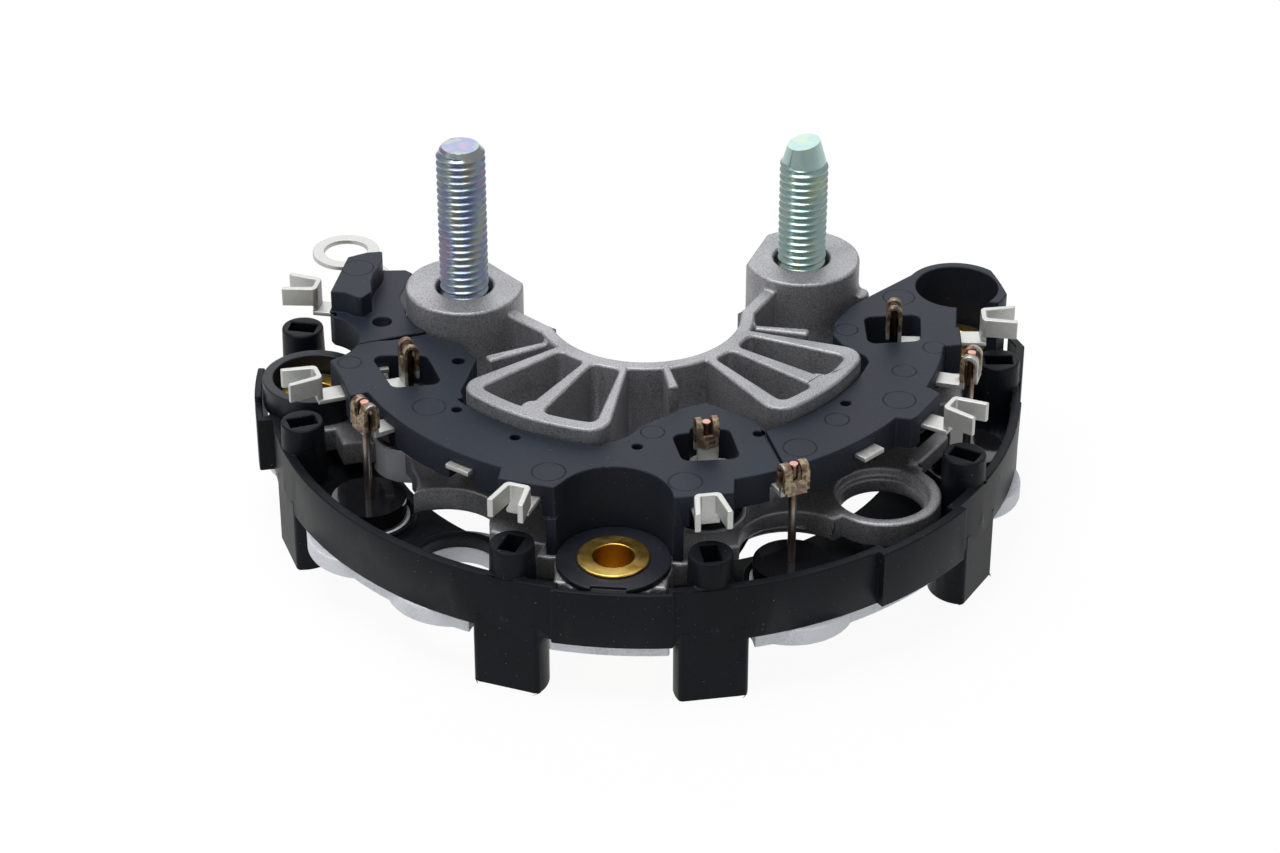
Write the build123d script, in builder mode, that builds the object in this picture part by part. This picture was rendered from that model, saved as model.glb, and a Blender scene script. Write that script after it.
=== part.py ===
from build123d import *
import os
from math import cos, hypot, radians, sin

os.makedirs("parts", exist_ok=True)

# Real sizes in millimetres and degrees, the origin is the middle of the outline on the plane of the feet
RING_CENTRE = (0.8, 16.28)
SYMMETRY = 285.0
PLATE_BOTTOM = 7.7
PLATE_THICKNESS = 3.0
PLATE_INNER = 42.7
WEB_THICKNESS = 1.5
WEB_INNER = 43.0
PAD_HEIGHT = 4.3
PAD_RADIUS = 8.6
FLANGE_THICKNESS = 4.3
FLANGE_OUTER = 49.3
RIM_INNER = 15.55
RIM_WALL = 2.35
RIM_TOP = 33.3
BOSS_DISTANCE = 30.1
BOSS_TURN = 110.6
BOSS_RADIUS = 9.65
BOSS_TOP = 35.3
BOSS_FLAT = 7.9
STUD_HOLE = 9.3
FAN_OUTER = 37.3
FAN_WALL = 2.6
EAR_RADIUS = 9.6
FRONT_EAR_RADIUS = 9.0
EAR_LIMIT = 59.5
SEAT_RING_OUTER = 18.5
SEAT_RING_BORE = 14.7
SEAT_RING_STEP = 13.2
SEAT_RING_DEPTH = 1.6

BOARD_BOTTOM = 25.7
BOARD_THICKNESS = 5.3
BOARD_OUTER = 48.6
BOARD_INNER = 37.6
BLOCK_HEIGHT = 3.8
SEAM_GAP = 0.3

BAND_OUTER = 61.5
BAND_WALL = 1.6
BAND_TOP = 20.2
BAND_OVERHANG = 1.2
GUIDE_INSET = 3.6
GUIDE_TOP = 24.6
GUIDE_DIAMETER = 6.85
GUIDE_SLOT_LENGTH = 4.4
GUIDE_SLOT_WIDTH = 2.7
FOOT_INSET = 2.6
FOOT_RADIUS = 5.75
FOOT_FACE_INSET = 0.1
FOOT_TOP = 12.6

SHEET = 0.8
STRIP_LEVEL = 28.1
STRIP_WIDTH = 2.7
CLIP_INSET = 0.9
CLIP_SHEET = 0.9
CLIP_TOP = 33.2
CLIP_BOTTOM = 30.1
CLIP_ARM = 5.7
CLIP_BACK = 2.4
CLIP_MOUTH = 2.3
CLIP_TAB = 3.7
HOOK_NECK = 3.4
NEGATIVE_HOOK_WIDTH = 4.3
NEGATIVE_HOOK_SHEET = 0.75
NEGATIVE_HOOK_TOP = 34.5
POSITIVE_HOOK_WIDTH = 3.6
POSITIVE_HOOK_SHEET = 0.55
POSITIVE_HOOK_TOP = 36.1
EYE_OUTER = 11.3
EYE_HOLE = 7.4

DIODE_CUP = 12.75
DIODE_WALL = 0.85
LEAD_DIAMETER = 1.3
LEAD_HEAD = 3.0
NEGATIVE_LEAD_TIP = 34.3
POSITIVE_LEAD_TIP = 35.4
NEGATIVE_RESIN_TOP = 16.7

RIVET_BORE = 6.3
RIVET_WALL = 0.6
RIVET_FLANGE = 11.2
RIVET_LIP = 0.5
BUSH_DISC = 17.6
BUSH_DISC_THICKNESS = 1.0
BUSH_WALL = 1.15
COLLAR_OUTER = 16.8
COLLAR_INNER = 13.2
COLLAR_TOP = 24.0

THREAD_DIAMETER = 8.0
KNURL_DIAMETER = 9.26
KNURL_HEIGHT = 9.0
SHANK_DIAMETER = 7.2
HEAD_ACROSS_FLATS = 13.0
HEAD_HEIGHT = 5.0
LEFT_STUD_TOP = 60.7
RIGHT_STUD_TOP = 57.1
DOG_POINT = 5.0
DOG_LENGTH = 4.0

FIT = 0.05

# Levels that follow from the stack of plates at the mounting eyelets
PLATE_OUTER = BAND_OUTER - BAND_OVERHANG
GUIDE_DISTANCE = BAND_OUTER - GUIDE_INSET
FOOT_DISTANCE = BAND_OUTER - FOOT_INSET
FOOT_FACE = BAND_OUTER - FOOT_FACE_INSET
CLIP_DISTANCE = GUIDE_DISTANCE - CLIP_INSET
WEB_BOTTOM = PLATE_BOTTOM + PLATE_THICKNESS
FLANGE_BOTTOM = WEB_BOTTOM + PAD_HEIGHT
FLANGE_TOP = FLANGE_BOTTOM + FLANGE_THICKNESS
DISC_TOP = FLANGE_TOP + BUSH_DISC_THICKNESS
BOARD_TOP = BOARD_BOTTOM + BOARD_THICKNESS
STRIP_TOP = STRIP_LEVEL + SHEET
RIVET_OUTER = RIVET_BORE + 2 * RIVET_WALL
BUSH_OUTER = RIVET_OUTER + 2 * BUSH_WALL

# Places in the plan as distance from the ring centre and angle
FRONT_MOUNT = (52.4, 270.0)
LEFT_MOUNT = (54.1, 190.0)
RIGHT_MOUNT = (53.3, 19.0)
MOUNTS = (LEFT_MOUNT, FRONT_MOUNT, RIGHT_MOUNT)
GUIDE_ANGLES = (175.0, 205.0, 255.0, 285.0, 335.0, 5.0)
NEGATIVE_SEATS = ((52.6, 219.4), (52.4, 300.5), (53.8, 349.8))
POSITIVE_SEATS = ((40.2, 206.0), (38.3, 289.4), (40.4, 3.0))
SPARE_NEGATIVE = (50.5, 240.0)
SPARE_POSITIVE = (49.2, 324.3)
SIDES = ("left", "front", "right")
LEFT_BOSS_X = BOSS_DISTANCE * cos(radians(SYMMETRY - BOSS_TURN))
# Wire clips with their angles and the outer radius of the strip that carries them
WIRE_CLIPS = (
    ("left_rear", 175.0, BOSS_DISTANCE + 15.0),
    ("left_front", 205.0, 47.9),
    ("front_left", 255.0, 42.0),
    ("front_right", 285.0, 46.4),
    ("right_front", 335.0, 47.2),
    ("right_rear", 5.0, 48.3),
)


def polar(distance, angle):
    return (distance * cos(radians(angle)), distance * sin(radians(angle)))


def level(height):
    # Level plane over the ring centre
    return Plane(origin=(RING_CENTRE[0], RING_CENTRE[1], height))


def standing(place, height):
    # Level plane at a place, its first axis points away from the ring centre
    distance, angle = place
    x, y = polar(distance, angle)
    outward = (cos(radians(angle)), sin(radians(angle)), 0)
    middle = (RING_CENTRE[0] + x, RING_CENTRE[1] + y, height)
    return Plane(origin=middle, x_dir=outward, z_dir=(0, 0, 1))


def upright(place):
    # Upright plane at a place, outward is its first axis and up its second
    distance, angle = place
    x, y = polar(distance, angle)
    outward = (cos(radians(angle)), sin(radians(angle)), 0)
    middle = (RING_CENTRE[0] + x, RING_CENTRE[1] + y, 0)
    return Plane(origin=middle, x_dir=outward, z_dir=(sin(radians(angle)), -cos(radians(angle)), 0))


def patch(points, mode=Mode.ADD):
    # Straight-sided outline
    with BuildLine() as path:
        Polyline(*points, close=True)
    make_face(path.edges(), mode=mode)


def sector(inner, outer, start, end, mode=Mode.ADD):
    # Part of a ring between two angles
    with BuildLine() as path:
        CenterArc((0, 0), outer, start, end - start)
        CenterArc((0, 0), inner, start, end - start)
        Line(polar(inner, start), polar(outer, start))
        Line(polar(inner, end), polar(outer, end))
    make_face(path.edges(), mode=mode)


def disc(place, radius, mode=Mode.ADD):
    with Locations(polar(*place)):
        Circle(radius, mode=mode)


def outermost(sketch, count):
    return sorted(sketch.vertices(), key=lambda v: hypot(v.X, v.Y))[-count:]


def foot_outline(growth, mode=Mode.ADD):
    # Round toward the ring centre and flat outside
    for angle in GUIDE_ANGLES:
        middle = polar(FOOT_DISTANCE, angle)
        with BuildSketch(mode=Mode.PRIVATE) as foot:
            with Locations(Location((middle[0], middle[1], 0), (0, 0, angle))):
                Circle(FOOT_RADIUS + growth)
                with Locations((FOOT_FACE - FOOT_DISTANCE + growth + 10, 0)):
                    Rectangle(20, 30, mode=Mode.SUBTRACT)
            fillet(foot.vertices(), 0.9)
        add(foot.sketch, mode=mode)


# Finned heat sink of the positive diodes, one die casting
with BuildPart() as positive_heat_sink:
    with BuildSketch(level(FLANGE_BOTTOM)) as flange:
        sector(RIM_INNER, FLANGE_OUTER, SYMMETRY - 82, SYMMETRY + 82)
        sector(24, FLANGE_OUTER, 176, SYMMETRY - 81)
        sector(24, FLANGE_OUTER, SYMMETRY + 81, 385)
        sector(44, 51.7, 193, 207)
        sector(44, 52.2, 358, 374)
        for side in (-1, 1):
            start = SYMMETRY + side * 82
            patch([polar(15.6, start), polar(23.3, start + side * 24.5), polar(30, start + side * 28),
                   polar(30, start)])
            disc((BOSS_DISTANCE, SYMMETRY + side * BOSS_TURN), BOSS_RADIUS)
        disc(LEFT_MOUNT, EAR_RADIUS)
        disc(FRONT_MOUNT, FRONT_EAR_RADIUS)
        patch([(-8.6, -50), (8.6, -50), (8.6, -58.2), (-8.6, -58.2)])
        sector(45, 52.6, 256.8, 283.2)
        disc(RIGHT_MOUNT, EAR_RADIUS)
        Circle(EAR_LIMIT, mode=Mode.INTERSECT)
        disc(NEGATIVE_SEATS[0], 7.7, mode=Mode.SUBTRACT)
        disc((51.4, 214.4), 7.9, mode=Mode.SUBTRACT)
        disc((51.0, 237.4), 9.4, mode=Mode.SUBTRACT)
        disc((51.6, 301.8), 8.7, mode=Mode.SUBTRACT)
        disc((52.7, 350.0), 8.7, mode=Mode.SUBTRACT)
        patch([(-20.6, -39.5), (-20.3, -42.5), (-19.9, -45.1), (-12.6, -47.6), (-11.0, -40.0), (-15.0, -36.0)])
        disc(SPARE_POSITIVE, SEAT_RING_OUTER / 2)
    extrude(amount=FLANGE_THICKNESS)
    # Inner rim and the walls that lead to the stud bosses
    with BuildSketch(level(FLANGE_BOTTOM)):
        sector(RIM_INNER, RIM_INNER + RIM_WALL, SYMMETRY - 82, SYMMETRY + 82)
        for side in (-1, 1):
            inner_end = polar(16.8, SYMMETRY + side * 81.1)
            outer_end = polar(24.4, SYMMETRY + side * 105.7)
            with BuildLine() as wall_line:
                Line(inner_end, outer_end)
            trace(wall_line.edges(), line_width=RIM_WALL)
            disc((16.75, SYMMETRY + side * 81.6), RIM_WALL / 2)
    extrude(amount=RIM_TOP - FLANGE_BOTTOM)
    # Two fans of cooling fins, open passages between their ribs
    for start, end in ((222.5, 266.4), (308.0, 347.0)):
        with BuildSketch(level(FLANGE_BOTTOM)) as fan:
            sector(RIM_INNER + 0.6, FAN_OUTER, start, end)
            fillet(outermost(fan, 2), 3.6)
        extrude(amount=RIM_TOP - FLANGE_BOTTOM)
    # Short stiffening ribs beside the bosses and between the fans
    with BuildSketch(level(FLANGE_BOTTOM)):
        sector(17, 28.3, 210.4, 214.6)
        sector(17, 26.8, 353.6, 357.8)
    extrude(amount=32.4 - FLANGE_BOTTOM)
    with BuildSketch(level(FLANGE_BOTTOM)):
        sector(17, 23.7, 284, 288.3)
    extrude(amount=RIM_TOP - FLANGE_BOTTOM)
    for start, end in ((227.5, 243.0), (248.0, 262.5), (313.0, 324.3), (329.6, 342.0)):
        with BuildSketch(level(FLANGE_BOTTOM)) as pocket:
            sector(RIM_INNER + RIM_WALL + 0.3, FAN_OUTER - FAN_WALL, start, end)
            fillet(pocket.vertices(), 1.3)
        extrude(amount=RIM_TOP - FLANGE_BOTTOM, mode=Mode.SUBTRACT)
    with BuildSketch(level(FLANGE_BOTTOM)):
        disc((34.0, 244.4), 1.9)
        disc((34.4, 327.5), 2.1)
    extrude(amount=RIM_TOP - FLANGE_BOTTOM)
    # Stud bosses, each with one flat side
    for side in (-1, 1):
        middle = (BOSS_DISTANCE, SYMMETRY + side * BOSS_TURN)
        facet = SYMMETRY - side * 120
        with BuildSketch(level(FLANGE_BOTTOM)) as boss:
            disc(middle, BOSS_RADIUS)
            with Locations(Location((*polar(*middle), 0), (0, 0, facet))):
                with Locations((BOSS_FLAT + 5, 0)):
                    Rectangle(10, 30, mode=Mode.SUBTRACT)
        extrude(amount=BOSS_TOP - FLANGE_BOTTOM)
        with BuildSketch(level(FLANGE_BOTTOM)):
            disc(middle, STUD_HOLE / 2)
        extrude(amount=BOSS_TOP - FLANGE_BOTTOM, mode=Mode.SUBTRACT)
    # Small lug beside the right boss and raised bar beside the spare seat
    with BuildSketch(level(FLANGE_BOTTOM)):
        with Locations((34.2, 15.9)):
            Circle(1.7)
    extrude(amount=30 - FLANGE_BOTTOM)
    with BuildSketch(level(17.6)):
        with BuildLine() as bar_line:
            Line((44.6, -20.9), (48.6, -13.2))
        trace(bar_line.edges(), line_width=2.6)
        with Locations((48.6, -13.2)):
            Circle(1.3)
    extrude(amount=3.2)
    # Thinner flange edge over the front diode
    with BuildSketch(level(FLANGE_BOTTOM)):
        disc(NEGATIVE_SEATS[1], 10.1)
    extrude(amount=1.3, mode=Mode.SUBTRACT)
    # Bores of the diodes, of the spare seat and of the mounting ears
    with BuildSketch(level(FLANGE_BOTTOM)):
        for seat in POSITIVE_SEATS:
            disc(seat, DIODE_CUP / 2 + FIT)
        disc(SPARE_POSITIVE, SEAT_RING_STEP / 2)
        for mount in MOUNTS:
            disc(mount, BUSH_OUTER / 2 + FIT)
    extrude(amount=FLANGE_THICKNESS, mode=Mode.SUBTRACT)
    with BuildSketch(level(FLANGE_TOP - SEAT_RING_DEPTH)):
        disc(SPARE_POSITIVE, SEAT_RING_BORE / 2)
    extrude(amount=SEAT_RING_DEPTH + 3, mode=Mode.SUBTRACT)
positive_heat_sink.part.label = "positive_heat_sink"
export_step(positive_heat_sink.part, "parts/positive_heat_sink.step")

# Pale plate that holds the negative diodes
with BuildPart() as negative_heat_sink:
    with BuildSketch(level(PLATE_BOTTOM)):
        sector(PLATE_INNER, PLATE_OUTER, 178, 385)
        for seat, lobe in zip(NEGATIVE_SEATS, (10.1, 10.1, 9.1)):
            disc(seat, lobe)
        disc(SPARE_NEGATIVE, 11.4)
        disc(LEFT_MOUNT, 8.4)
        disc(RIGHT_MOUNT, 8.4)
        foot_outline(0.8, mode=Mode.SUBTRACT)
        for seat in NEGATIVE_SEATS:
            disc(seat, DIODE_CUP / 2 + FIT, mode=Mode.SUBTRACT)
        disc(SPARE_NEGATIVE, DIODE_CUP / 2 + FIT, mode=Mode.SUBTRACT)
        for mount in MOUNTS:
            disc(mount, RIVET_OUTER / 2 + FIT, mode=Mode.SUBTRACT)
    extrude(amount=PLATE_THICKNESS)
negative_heat_sink.part.label = "negative_heat_sink"
export_step(negative_heat_sink.part, "parts/negative_heat_sink.step")

# Moulded insulator with the outer band, the feet and the six wire guides
with BuildPart() as insulator_ring:
    with BuildSketch(level(WEB_BOTTOM)):
        sector(WEB_INNER, BAND_OUTER - 0.4, 172, 378)
        for seat in NEGATIVE_SEATS:
            disc(seat, 6.6, mode=Mode.SUBTRACT)
        disc(SPARE_NEGATIVE, 6.5, mode=Mode.SUBTRACT)
    extrude(amount=WEB_THICKNESS)
    # Outer band with its bulges
    with BuildSketch(level(WEB_BOTTOM)):
        sector(BAND_OUTER - BAND_WALL, BAND_OUTER, 195, 262.6)
        sector(BAND_OUTER - BAND_WALL, BAND_OUTER, 278.6, 311.2)
        sector(BAND_OUTER - BAND_WALL, BAND_OUTER, 327, 359.5)
        with BuildLine() as end_wall:
            Polyline((BAND_OUTER - 0.8, -1.2), (BAND_OUTER, 17.2), (BAND_OUTER - 1.5, 20.2))
        trace(end_wall.edges(), line_width=1.4)
        sector(BAND_OUTER - 0.2, BAND_OUTER + 0.8, 262, 279.2)
        sector(BAND_OUTER - BAND_WALL, BAND_OUTER + 1.3, 310.6, 311.9)
        sector(BAND_OUTER - BAND_WALL + 1.3, BAND_OUTER + 1.3, 311.0, 327.4)
        sector(BAND_OUTER - BAND_WALL, BAND_OUTER + 1.3, 326.6, 328)
        sector(BAND_OUTER - BAND_WALL, BAND_OUTER + 2.4, 195, 196.4)
        sector(BAND_OUTER + 1.2, BAND_OUTER + 2.4, 183, 196)
        disc(LEFT_MOUNT, COLLAR_OUTER / 2 + FIT, mode=Mode.SUBTRACT)
    extrude(amount=BAND_TOP - WEB_BOTTOM)
    with BuildSketch(level(BAND_TOP)):
        sector(BAND_OUTER + 1.2, BAND_OUTER + 2.4, 183, 191.5)
    extrude(amount=1.2)
    with BuildSketch(level(9.3)):
        sector(PLATE_OUTER + 0.4, BAND_OUTER + 0.8, 262, 279.2)
    extrude(amount=WEB_BOTTOM - 9.3)
    # Feet and wire guides
    with BuildSketch(level(0)):
        foot_outline(0)
    extrude(amount=FOOT_TOP)
    for angle in GUIDE_ANGLES:
        with BuildSketch(standing((GUIDE_DISTANCE, angle), FOOT_TOP)):
            Circle(GUIDE_DIAMETER / 2 + 0.3)
        with BuildSketch(standing((GUIDE_DISTANCE, angle), GUIDE_TOP)):
            Circle(GUIDE_DIAMETER / 2)
        loft()
    # Walls round the diodes and round the spare seat
    for seat in NEGATIVE_SEATS:
        with BuildSketch(standing(seat, WEB_BOTTOM)):
            Circle(7.4)
        extrude(amount=3.0)
    for seat in NEGATIVE_SEATS:
        with BuildSketch(standing(seat, WEB_BOTTOM)):
            Circle(6.6)
        extrude(amount=17.0 - WEB_BOTTOM, mode=Mode.SUBTRACT)
    with BuildSketch(standing(SPARE_NEGATIVE, WEB_BOTTOM)):
        Circle(7.7)
        Circle(6.5, mode=Mode.SUBTRACT)
    extrude(amount=2.3)
    # Spacer pads under the ears of the casting
    for mount in MOUNTS:
        with BuildSketch(standing(mount, WEB_BOTTOM)):
            Circle(PAD_RADIUS)
        extrude(amount=PAD_HEIGHT)
    for mount in MOUNTS:
        with BuildSketch(standing(mount, WEB_BOTTOM)):
            Circle(RIVET_OUTER / 2 + FIT)
        extrude(amount=PAD_HEIGHT, mode=Mode.SUBTRACT)
    # Wire slots through the guides, with a wider mouth on top
    for angle in GUIDE_ANGLES:
        with BuildSketch(standing((GUIDE_DISTANCE, angle), 0)):
            Rectangle(GUIDE_SLOT_LENGTH, GUIDE_SLOT_WIDTH)
        extrude(amount=GUIDE_TOP, mode=Mode.SUBTRACT)
insulator_ring.part.label = "insulator_ring"
export_step(insulator_ring.part, "parts/insulator_ring.step")


def left_strip(growth):
    # Conductor strip of the left phase seen from above
    inner = BOSS_DISTANCE + 12.3
    sector(inner - growth, inner + STRIP_WIDTH + growth, 174.0 - growth, 199.0)
    sector(inner - growth, 47.9 + growth, 196.6 - growth, 199.6 + growth)
    sector(45.2 - growth, 47.9 + growth, 197.0, 215.0 + growth)
    sector(43.6 - growth, 47.9 + growth, 213.0 - growth, 216.4 + growth)
    sector(43.6 - growth, 46.3 + growth, 214.0, 242.0 + growth)


def front_strip(growth):
    sector(39.3 - growth, 42.0 + growth, 252.6 - growth, 281.0)
    sector(39.3 - growth, 46.4 + growth, 278.6 - growth, 282.2 + growth)
    sector(43.7 - growth, 46.4 + growth, 279.0, 302.0 + growth)


def right_strip(growth):
    sector(44.6 - growth, 47.2 + growth, 316.0 - growth, 357.0)
    sector(44.6 - growth, 48.3 + growth, 354.8 - growth, 358.0 + growth)
    sector(45.6 - growth, 48.3 + growth, 355.0, 367.4 + growth)


def tab(angle, inner, outer, width):
    # Straight tab that points away from the ring centre
    middle = polar((inner + outer) / 2, angle)
    with Locations(Location((middle[0], middle[1], 0), (0, 0, angle))):
        Rectangle(outer - inner, width)


def hook_tab(seat, root, growth):
    # Tab from the strip to the foot of the hook at a diode lead
    distance, angle = seat
    foot = LEAD_DIAMETER / 2 + FIT
    if distance < root:
        tab(angle, distance + foot - growth, root, HOOK_NECK + 2 * growth)
    else:
        tab(angle, root, distance - foot, HOOK_NECK + 2 * growth)


def clip_tab(angle, root):
    # Flat foot of a wire clip, from the edge of the strip outward
    tab(angle, root - 1, CLIP_DISTANCE - CLIP_BACK + CLIP_SHEET, CLIP_TAB)
    Circle(root, mode=Mode.SUBTRACT)


def left_clip_channels(growth):
    for name, angle, root in WIRE_CLIPS[:2]:
        tab(angle, root - 1, CLIP_DISTANCE, CLIP_TAB + 2 * growth)


def front_clip_channels(growth):
    for name, angle, root in WIRE_CLIPS[2:4]:
        tab(angle, root - 1, CLIP_DISTANCE, CLIP_TAB + 2 * growth)


def right_clip_channels(growth):
    for name, angle, root in WIRE_CLIPS[4:]:
        tab(angle, root - 1, CLIP_DISTANCE, CLIP_TAB + 2 * growth)


def eye_arm(mode=Mode.ADD):
    # Arm of the left conductor that leads to the phase eye
    patch([(LEFT_BOSS_X - 13.0, 3.0), (LEFT_BOSS_X - 15.6, 3.0), (LEFT_BOSS_X - 17.6, 10),
           (LEFT_BOSS_X - 18.4, 17.5), (-50.6, 20.5), (-52, 24), (-48.4, 22.4), (LEFT_BOSS_X - 15.0, 18.0),
           (LEFT_BOSS_X - 13.8, 10)], mode=mode)


def left_tabs(growth):
    hook_tab(POSITIVE_SEATS[0], 46.0, growth)
    hook_tab(NEGATIVE_SEATS[0], 44.5, growth)
    tab(239.6, 44.5, 49.6, 4.4 + 2 * growth)


def front_tabs(growth):
    hook_tab(POSITIVE_SEATS[1], 45.0, growth)
    hook_tab(NEGATIVE_SEATS[1], 44.5, growth)


def right_tabs(growth):
    hook_tab(POSITIVE_SEATS[2], 46.4, growth)
    hook_tab(NEGATIVE_SEATS[2], 46.0, growth)
    tab(319.8, 45.5, 50.5, 4.4 + 2 * growth)


def clip(angle):
    # U-shaped wire clip, open outward, its arms spread
    spread = 0.15 * CLIP_ARM
    half = CLIP_MOUTH / 2
    back = -CLIP_BACK
    with BuildSketch(standing((CLIP_DISTANCE, angle), CLIP_BOTTOM)) as outline:
        patch([(back, -half - CLIP_SHEET), (back + CLIP_ARM, -half - CLIP_SHEET - spread),
               (back + CLIP_ARM, half + CLIP_SHEET + spread), (back, half + CLIP_SHEET)])
        fillet(outline.vertices().sort_by(Axis.X)[:2], 1.0)
        with BuildSketch(mode=Mode.PRIVATE) as hollow:
            patch([(back + CLIP_SHEET, -half), (back + CLIP_ARM + 0.1, -half - spread),
                   (back + CLIP_ARM + 0.1, half + spread), (back + CLIP_SHEET, half)])
            fillet(hollow.vertices().sort_by(Axis.X)[:2], 0.4)
        add(hollow.sketch, mode=Mode.SUBTRACT)
    extrude(outline.sketch, amount=CLIP_TOP - CLIP_BOTTOM)
    with BuildSketch(standing((CLIP_DISTANCE + back + CLIP_SHEET / 2, angle), STRIP_TOP)) as riser:
        Rectangle(CLIP_SHEET, 2 * half + 0.4)
    extrude(riser.sketch, amount=CLIP_BOTTOM - STRIP_TOP)


def hook(place, top, side, low_end, neck_top, head_width, sheet):
    # Folded sheet that grips a diode lead, split on top into two curls
    gap = LEAD_DIAMETER / 2 + FIT
    outside = gap + sheet
    fold = top - outside
    for width, bottom in ((HOOK_NECK, STRIP_LEVEL), (head_width, neck_top)):
        with BuildSketch(upright(place)) as profile:
            with Locations((0, fold)):
                Circle(outside)
            with Locations((0, (fold + bottom) / 2)):
                Rectangle(2 * outside, fold - bottom)
            with Locations((0, fold)):
                Circle(gap, mode=Mode.SUBTRACT)
            with Locations((0, (fold + bottom) / 2)):
                Rectangle(2 * gap, fold - bottom, mode=Mode.SUBTRACT)
            if bottom < low_end:
                with Locations((-side * outside, (bottom + low_end) / 2)):
                    Rectangle(2 * outside, low_end - bottom, mode=Mode.SUBTRACT)
        extrude(profile.sketch, amount=width / 2, both=True)
    with BuildSketch(standing(place, top - 2.7)) as slit:
        Rectangle(2 * outside + 1, LEAD_DIAMETER + 0.25)
    extrude(slit.sketch, amount=3.0, mode=Mode.SUBTRACT)


# Phase conductors, each stamped from one sheet with its hooks
with BuildPart() as left_phase_conductor:
    with BuildSketch(level(STRIP_LEVEL)):
        left_strip(0)
        left_tabs(0)
        eye_arm()
        with Locations((-53.4, 24.1)):
            Circle(EYE_OUTER / 2)
            Circle(EYE_HOLE / 2, mode=Mode.SUBTRACT)
    extrude(amount=SHEET)
    hook(POSITIVE_SEATS[0], POSITIVE_HOOK_TOP, 1, 30.0, 33.0, POSITIVE_HOOK_WIDTH, POSITIVE_HOOK_SHEET)
    hook(NEGATIVE_SEATS[0], NEGATIVE_HOOK_TOP, -1, 29.4, 30.0, NEGATIVE_HOOK_WIDTH, NEGATIVE_HOOK_SHEET)
left_phase_conductor.part.label = "left_phase_conductor"
export_step(left_phase_conductor.part, "parts/left_phase_conductor.step")

with BuildPart() as front_phase_conductor:
    with BuildSketch(level(STRIP_LEVEL)):
        front_strip(0)
        front_tabs(0)
    extrude(amount=SHEET)
    hook(POSITIVE_SEATS[1], POSITIVE_HOOK_TOP, 1, 30.0, 33.0, POSITIVE_HOOK_WIDTH, POSITIVE_HOOK_SHEET)
    hook(NEGATIVE_SEATS[1], NEGATIVE_HOOK_TOP, -1, 29.4, 30.0, NEGATIVE_HOOK_WIDTH, NEGATIVE_HOOK_SHEET)
front_phase_conductor.part.label = "front_phase_conductor"
export_step(front_phase_conductor.part, "parts/front_phase_conductor.step")

with BuildPart() as right_phase_conductor:
    with BuildSketch(level(STRIP_LEVEL)):
        right_strip(0)
        right_tabs(0)
    extrude(amount=SHEET)
    hook(POSITIVE_SEATS[2], POSITIVE_HOOK_TOP, 1, 30.0, 33.0, POSITIVE_HOOK_WIDTH, POSITIVE_HOOK_SHEET)
    hook(NEGATIVE_SEATS[2], NEGATIVE_HOOK_TOP, -1, 29.4, 30.0, NEGATIVE_HOOK_WIDTH, NEGATIVE_HOOK_SHEET)
right_phase_conductor.part.label = "right_phase_conductor"
export_step(right_phase_conductor.part, "parts/right_phase_conductor.step")

# Six wire clips, each folded from thicker sheet and welded to the edge of a strip
for name, angle, root in WIRE_CLIPS:
    with BuildPart() as wire_clip:
        with BuildSketch(level(STRIP_LEVEL)):
            clip_tab(angle, root)
            eye_arm(mode=Mode.SUBTRACT)
        extrude(amount=SHEET)
        clip(angle)
    wire_clip.part.label = name + "_wire_clip"
    export_step(wire_clip.part, "parts/" + name + "_wire_clip.step")


def window(corners):
    # Rounded opening round a positive lead
    with BuildSketch(level(BOARD_BOTTOM)) as opening:
        patch(corners)
        fillet(opening.vertices(), 1.4)
    extrude(opening.sketch, amount=BOARD_THICKNESS, mode=Mode.SUBTRACT)


# Moulded connector board, left end with the raised block
with BuildPart() as connector_board_left:
    with BuildSketch(level(BOARD_BOTTOM)):
        patch([(-45.9, -10.55), (-34.9, -5.45), (-39.8, 0.6), (-41.2, 5.4), (-40.3, 13.7), (-41.6, 14.7),
               (-45.4, 14.2), (-50.7, 11.4), (-52.0, 3.3), (-51.7, -1.0)])
        disc(LEFT_MOUNT, 7.6, mode=Mode.SUBTRACT)
        disc((BOSS_DISTANCE, SYMMETRY - BOSS_TURN), 10.2, mode=Mode.SUBTRACT)
    extrude(amount=BOARD_THICKNESS)
    with BuildSketch(level(BOARD_TOP)):
        patch([(-51.6, -0.5), (-50.7, 11.4), (-47.8, 13.3), (-45.3, 13.9), (-44.8, 11.0), (-44.9, 8.8),
               (-45.5, 6.3), (-45.6, 3.9), (-44.9, 0.1), (-46.1, -2.1), (-47.1, -1.9), (-49.3, -0.6)])
    extrude(amount=BLOCK_HEIGHT)
    with BuildSketch(level(BOARD_BOTTOM)):
        left_strip(FIT + 0.1)
        left_tabs(FIT + 0.1)
        left_clip_channels(FIT + 0.1)
        patch([(LEFT_BOSS_X - 12.8, 2.5), (LEFT_BOSS_X - 15.8, 2.5), (LEFT_BOSS_X - 17.9, 10),
               (LEFT_BOSS_X - 18.7, 17.5), (LEFT_BOSS_X - 14.7, 18.2), (LEFT_BOSS_X - 13.5, 10)])
    extrude(amount=STRIP_TOP + FIT - BOARD_BOTTOM, mode=Mode.SUBTRACT)
    with BuildSketch(level(BOARD_BOTTOM)):
        with Locations((LEFT_BOSS_X - 12.9, -2.9)):
            Circle(1.55)
    extrude(amount=BOARD_THICKNESS, mode=Mode.SUBTRACT)
connector_board_left.part.label = "connector_board_left"
export_step(connector_board_left.part, "parts/connector_board_left.step")

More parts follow.
